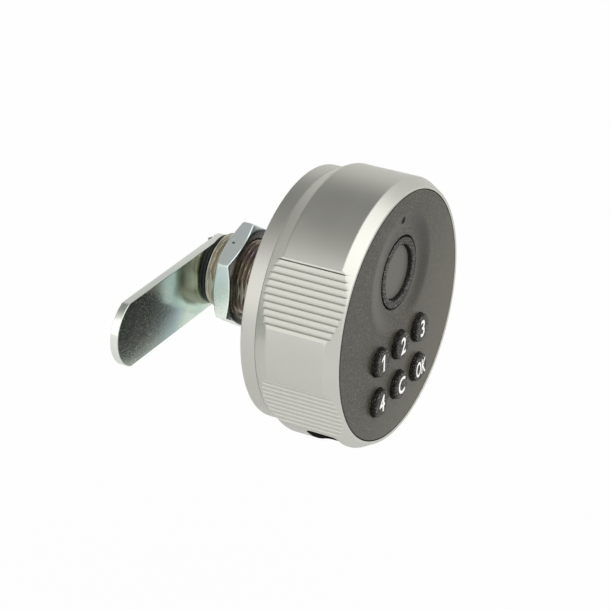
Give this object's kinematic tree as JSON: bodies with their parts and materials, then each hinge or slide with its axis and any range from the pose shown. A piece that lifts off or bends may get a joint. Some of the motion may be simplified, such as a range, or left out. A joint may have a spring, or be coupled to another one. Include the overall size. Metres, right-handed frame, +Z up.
{
  "type": "fingerprint lock",
  "caption": "Round fingerprint cam lock with keys and ribbed grips; a threaded barrel and nut fix it in a cabinet door and a flat cam turns behind.",
  "frame": {"origin": "on the lock's axis, at the face of the flange that lies on the door", "axes": "+Y along the barrel, through the door; the knob faces -Y; +Z up; the cam points to -X at rest"},
  "size_m": [0.0675, 0.0482, 0.0562],
  "materials": {
    "satin_metal": "satin, bead-blasted zinc die casting with a clear coat",
    "panel_lacquer": "dark grey-brown with a fine metallic grain",
    "black_moulding": "finely textured black",
    "sensor_glaze": "smooth grey coating, half gloss",
    "key_plastic": "black, finely speckled, white digits",
    "smoked_plastic": "smoked, black while the lamp is off",
    "soft_mat": "matt",
    "dome_steel": "bright stamped",
    "board_laminate": "green solder mask",
    "lamp_body": "white",
    "chassis_plastic": "moulded, dark grey",
    "cell_foil": "silver-grey pouch",
    "coil_winding": "enamelled copper wire between plastic cheeks",
    "bright_steel": "turned or stamped, bright",
    "zinc_blue": "zinc plated, blue-green passivate",
    "zinc_olive": "zinc plated, olive passivate with a coppery tint",
    "black_steel": "black oxide"
  },
  "bodies": {
    "base": {"base_flange": "satin_metal", "threaded_barrel": "zinc_olive", "barrel_screws": "bright_steel", "mounting_nut": "zinc_blue", "retaining_clip": "black_steel"},
    "knob": {"knob_shell": "satin_metal", "front_panel": "panel_lacquer", "sensor_bezel": "black_moulding", "fingerprint_sensor": "sensor_glaze", "light_pipe": "smoked_plastic", "key_mat": "soft_mat", "contact_domes": "dome_steel", "circuit_board": "board_laminate", "status_light": "lamp_body", "charge_socket": "bright_steel", "chassis": "chassis_plastic", "chassis_screws": "bright_steel", "board_screws": "bright_steel", "battery": "cell_foil", "clutch_coil": "coil_winding", "stop_pin": "bright_steel"},
    "spindle": {"spindle": "bright_steel", "cam_spacer": "black_steel", "cam": "zinc_blue", "lock_washer": "bright_steel", "cam_screw": "bright_steel"},
    "clutch": {"clutch_pin": "bright_steel"},
    "key_1_body": {"key_1": "key_plastic"},
    "key_2_body": {"key_2": "key_plastic"},
    "key_3_body": {"key_3": "key_plastic"},
    "key_4_body": {"key_4": "key_plastic"},
    "key_c_body": {"key_c": "key_plastic"},
    "key_ok_body": {"key_ok": "key_plastic"}
  },
  "joints": [
    {"name": "knob_turn", "type": "hinge", "parent": "base", "child": "knob", "pos_m": [0, 0, 0], "axis": [0, 1, 0], "range_deg": [0, 90]},
    {"name": "cam_turn", "type": "hinge", "parent": "base", "child": "spindle", "pos_m": [0, 0, 0], "axis": [0, 1, 0], "range_deg": [0, 90]},
    {"name": "clutch_slide", "type": "slide", "parent": "knob", "child": "clutch", "axis": [0, -1, 0], "range_m": [0, 0.0022]},
    {"name": "key_1_press", "type": "slide", "parent": "knob", "child": "key_1_body", "axis": [0, 1, 0], "range_m": [0, 0.0005], "stiffness_N_per_m": 800, "springref_m": -0.0005},
    {"name": "key_2_press", "type": "slide", "parent": "knob", "child": "key_2_body", "axis": [0, 1, 0], "range_m": [0, 0.0005], "stiffness_N_per_m": 800, "springref_m": -0.0005},
    {"name": "key_3_press", "type": "slide", "parent": "knob", "child": "key_3_body", "axis": [0, 1, 0], "range_m": [0, 0.0005], "stiffness_N_per_m": 800, "springref_m": -0.0005},
    {"name": "key_4_press", "type": "slide", "parent": "knob", "child": "key_4_body", "axis": [0, 1, 0], "range_m": [0, 0.0005], "stiffness_N_per_m": 800, "springref_m": -0.0005},
    {"name": "key_c_press", "type": "slide", "parent": "knob", "child": "key_c_body", "axis": [0, 1, 0], "range_m": [0, 0.0005], "stiffness_N_per_m": 800, "springref_m": -0.0005},
    {"name": "key_ok_press", "type": "slide", "parent": "knob", "child": "key_ok_body", "axis": [0, 1, 0], "range_m": [0, 0.0005], "stiffness_N_per_m": 800, "springref_m": -0.0005}
  ],
  "couplings": [
    {"joint": "cam_turn", "follows": "knob_turn", "ratio": 1}
  ]
}
